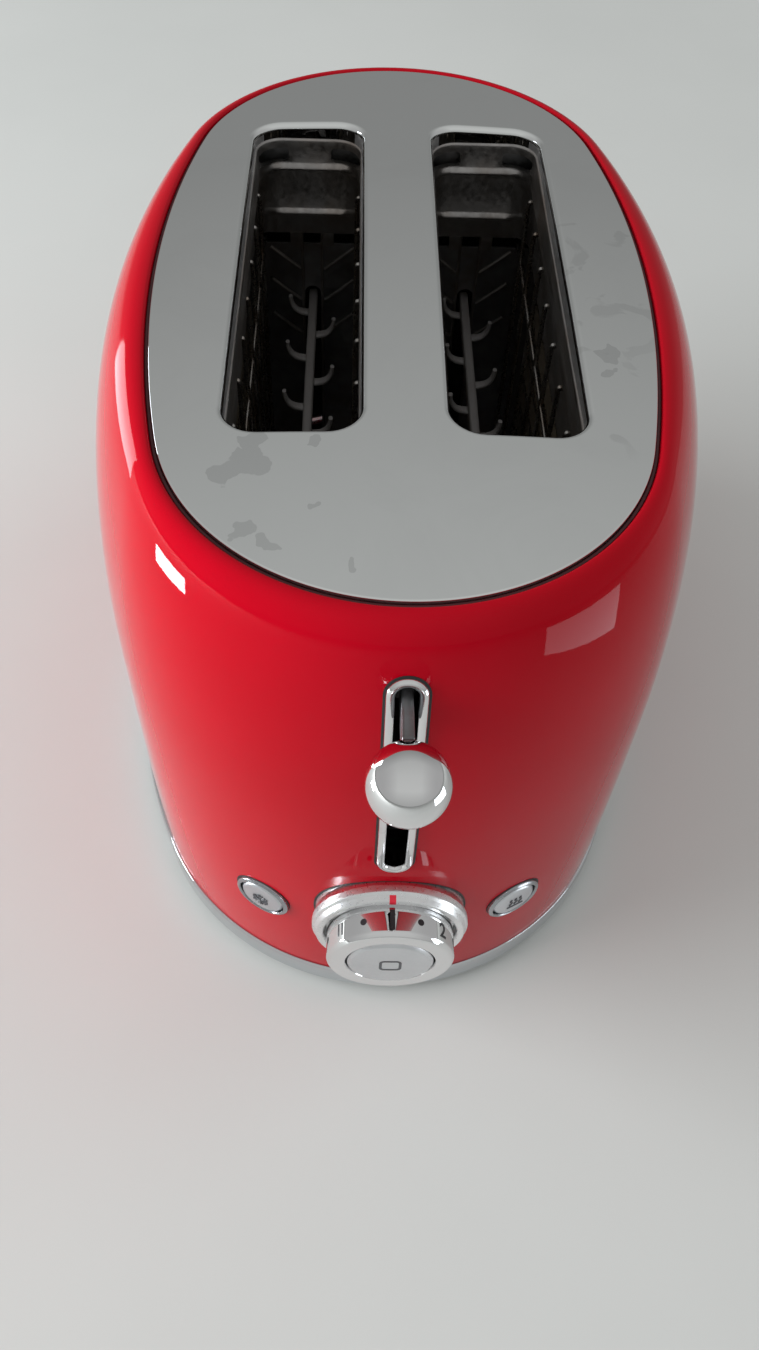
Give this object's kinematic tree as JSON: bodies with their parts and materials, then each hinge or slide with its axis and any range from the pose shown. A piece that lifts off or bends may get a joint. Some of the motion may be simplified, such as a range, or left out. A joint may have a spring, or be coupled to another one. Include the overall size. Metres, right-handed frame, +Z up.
{
  "type": "pop-up toaster",
  "caption": "Two-slot pop-up toaster with a bellied enamel shell, mirror top plate, ball lever, round browning dial and rear crumb tray.",
  "frame": {"origin": "centre of the bounding box in plan, on the surface that the feet stand on", "axes": "+Z up, -Y towards the end with the lever and the dial, +X to the right when facing that end from outside"},
  "size_m": [0.1956, 0.318, 0.1977],
  "materials": {
    "red_enamel": "deep glossy enamel",
    "mirror_chrome": "polished mirror",
    "satin_chrome": "satin",
    "black_plastic": "matte",
    "pale_plastic": "satin",
    "red_mark": "gloss",
    "rubber": "matte",
    "galvanised_steel": "dull sheet",
    "dark_steel": "heat-darkened sheet",
    "mica": "flaky board",
    "nichrome": "oxidised ribbon",
    "wire": "bright wire",
    "copper": "enamelled wire",
    "circuit_board": "solder mask",
    "brass": "plain"
  },
  "bodies": {
    "root": {"body_shell": "red_enamel", "top_plate": "mirror_chrome", "left_slot_collar": "mirror_chrome", "right_slot_collar": "mirror_chrome", "top_gasket": "rubber", "base_ring": "mirror_chrome", "base_pan": "black_plastic", "board_posts": "black_plastic", "feet": "rubber", "base_screws": "galvanised_steel", "lever_slot_trim": "mirror_chrome", "left_side_bar": "mirror_chrome", "right_side_bar": "mirror_chrome", "dial_bezel": "satin_chrome", "dial_index": "red_mark", "left_button_bezel": "mirror_chrome", "right_button_bezel": "mirror_chrome", "cord_gland": "black_plastic", "front_bulkhead": "galvanised_steel", "rear_bulkhead": "galvanised_steel", "left_reflector": "galvanised_steel", "right_reflector": "galvanised_steel", "left_slot_liner": "dark_steel", "right_slot_liner": "dark_steel", "left_heater_board": "mica", "centre_heater_board": "mica", "right_heater_board": "mica", "heating_ribbons": "nichrome", "guide_rods": "wire", "magnet_core": "galvanised_steel", "magnet_coil": "copper", "control_board": "circuit_board", "board_parts": "black_plastic", "potentiometer": "galvanised_steel", "button_switches": "black_plastic", "mains_contacts": "brass", "terminal_block": "pale_plastic", "chassis_screws": "galvanised_steel", "return_springs": "wire"},
    "carriage": {"carriage_bracket": "galvanised_steel", "carriage_bushings": "pale_plastic", "left_bread_rack": "wire", "right_bread_rack": "wire", "keeper_plate": "galvanised_steel", "lever_arm": "dark_steel", "lever_knob": "mirror_chrome"},
    "dial": {"dial_knob": "mirror_chrome", "dial_shaft": "galvanised_steel"},
    "stop": {"stop_button": "satin_chrome"},
    "defrost": {"defrost_button": "pale_plastic"},
    "reheat": {"reheat_button": "pale_plastic"},
    "left_outer_grille": {"left_outer_guard": "wire"},
    "left_inner_grille": {"left_inner_guard": "wire"},
    "right_inner_grille": {"right_inner_guard": "wire"},
    "right_outer_grille": {"right_outer_guard": "wire"},
    "tray": {"crumb_tray": "galvanised_steel", "tray_handle": "satin_chrome"}
  },
  "joints": [
    {"name": "carriage_slide", "type": "slide", "parent": "root", "child": "carriage", "axis": [0, 0, 1], "range_m": [-0.064, 0], "stiffness_N_per_m": 60, "springref_m": 0.1, "deforming": ["return_springs"]},
    {"name": "dial_turn", "type": "hinge", "parent": "root", "child": "dial", "pos_m": [0, -0.14, 0.0652], "axis": [0, -1, 0], "range_deg": [0, 257.1]},
    {"name": "stop_press", "type": "slide", "parent": "root", "child": "stop", "axis": [0, 1, 0], "range_m": [0, 0.002], "stiffness_N_per_m": 800, "springref_m": -0.002},
    {"name": "defrost_press", "type": "slide", "parent": "root", "child": "defrost", "axis": [0.4695, 0.8829, 0], "range_m": [0, 0.0016], "stiffness_N_per_m": 800, "springref_m": -0.002},
    {"name": "reheat_press", "type": "slide", "parent": "root", "child": "reheat", "axis": [-0.4695, 0.8829, 0], "range_m": [0, 0.0016], "stiffness_N_per_m": 800, "springref_m": -0.002},
    {"name": "left_outer_grille_slide", "type": "slide", "parent": "root", "child": "left_outer_grille", "axis": [1, 0, 0], "range_m": [0, 0.006]},
    {"name": "left_inner_grille_slide", "type": "slide", "parent": "root", "child": "left_inner_grille", "axis": [-1, 0, 0], "range_m": [0, 0.006]},
    {"name": "right_inner_grille_slide", "type": "slide", "parent": "root", "child": "right_inner_grille", "axis": [1, 0, 0], "range_m": [0, 0.006]},
    {"name": "right_outer_grille_slide", "type": "slide", "parent": "root", "child": "right_outer_grille", "axis": [-1, 0, 0], "range_m": [0, 0.006]},
    {"name": "crumb_tray_slide", "type": "slide", "parent": "root", "child": "tray", "axis": [0, 1, 0], "range_m": [0, 0.19]}
  ],
  "couplings": [
    {"joint": "left_outer_grille_slide", "follows": "carriage_slide", "ratio": -0.09281},
    {"joint": "left_inner_grille_slide", "follows": "carriage_slide", "ratio": -0.09281},
    {"joint": "right_inner_grille_slide", "follows": "carriage_slide", "ratio": -0.09281},
    {"joint": "right_outer_grille_slide", "follows": "carriage_slide", "ratio": -0.09281}
  ]
}
